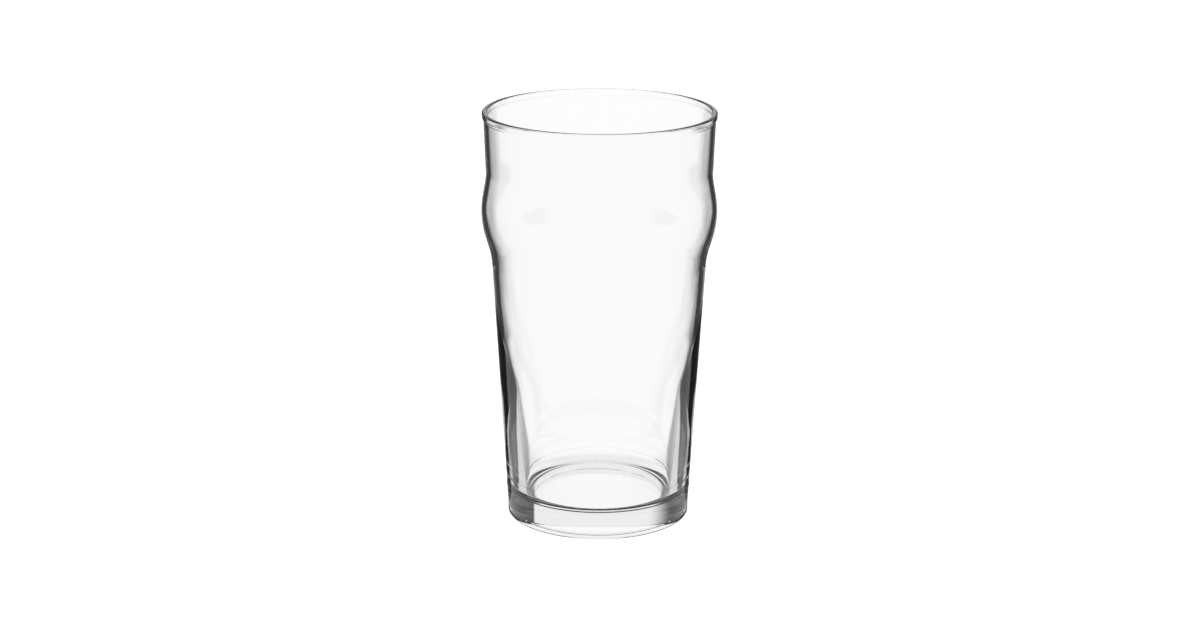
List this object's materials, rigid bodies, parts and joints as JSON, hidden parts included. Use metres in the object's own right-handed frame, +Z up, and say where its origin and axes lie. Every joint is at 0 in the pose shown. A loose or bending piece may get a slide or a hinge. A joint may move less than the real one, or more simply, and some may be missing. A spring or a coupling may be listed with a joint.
{
  "type": "pint glass",
  "caption": "Clear conical beer glass with a grip bulge below the rim, a rounded bead lip and a thick flat base, for drinks.",
  "frame": {"origin": "centre of the foot, on the plane that the glass stands on", "axes": "+Z up along the glass's axis of symmetry, from the foot to the rim; +X and +Y are equivalent"},
  "size_m": [0.0857, 0.0856, 0.152],
  "materials": {
    "clear_glass": "clear polished soda-lime glass"
  },
  "bodies": {
    "root": {"glass_body": "clear_glass"}
  },
  "joints": []
}
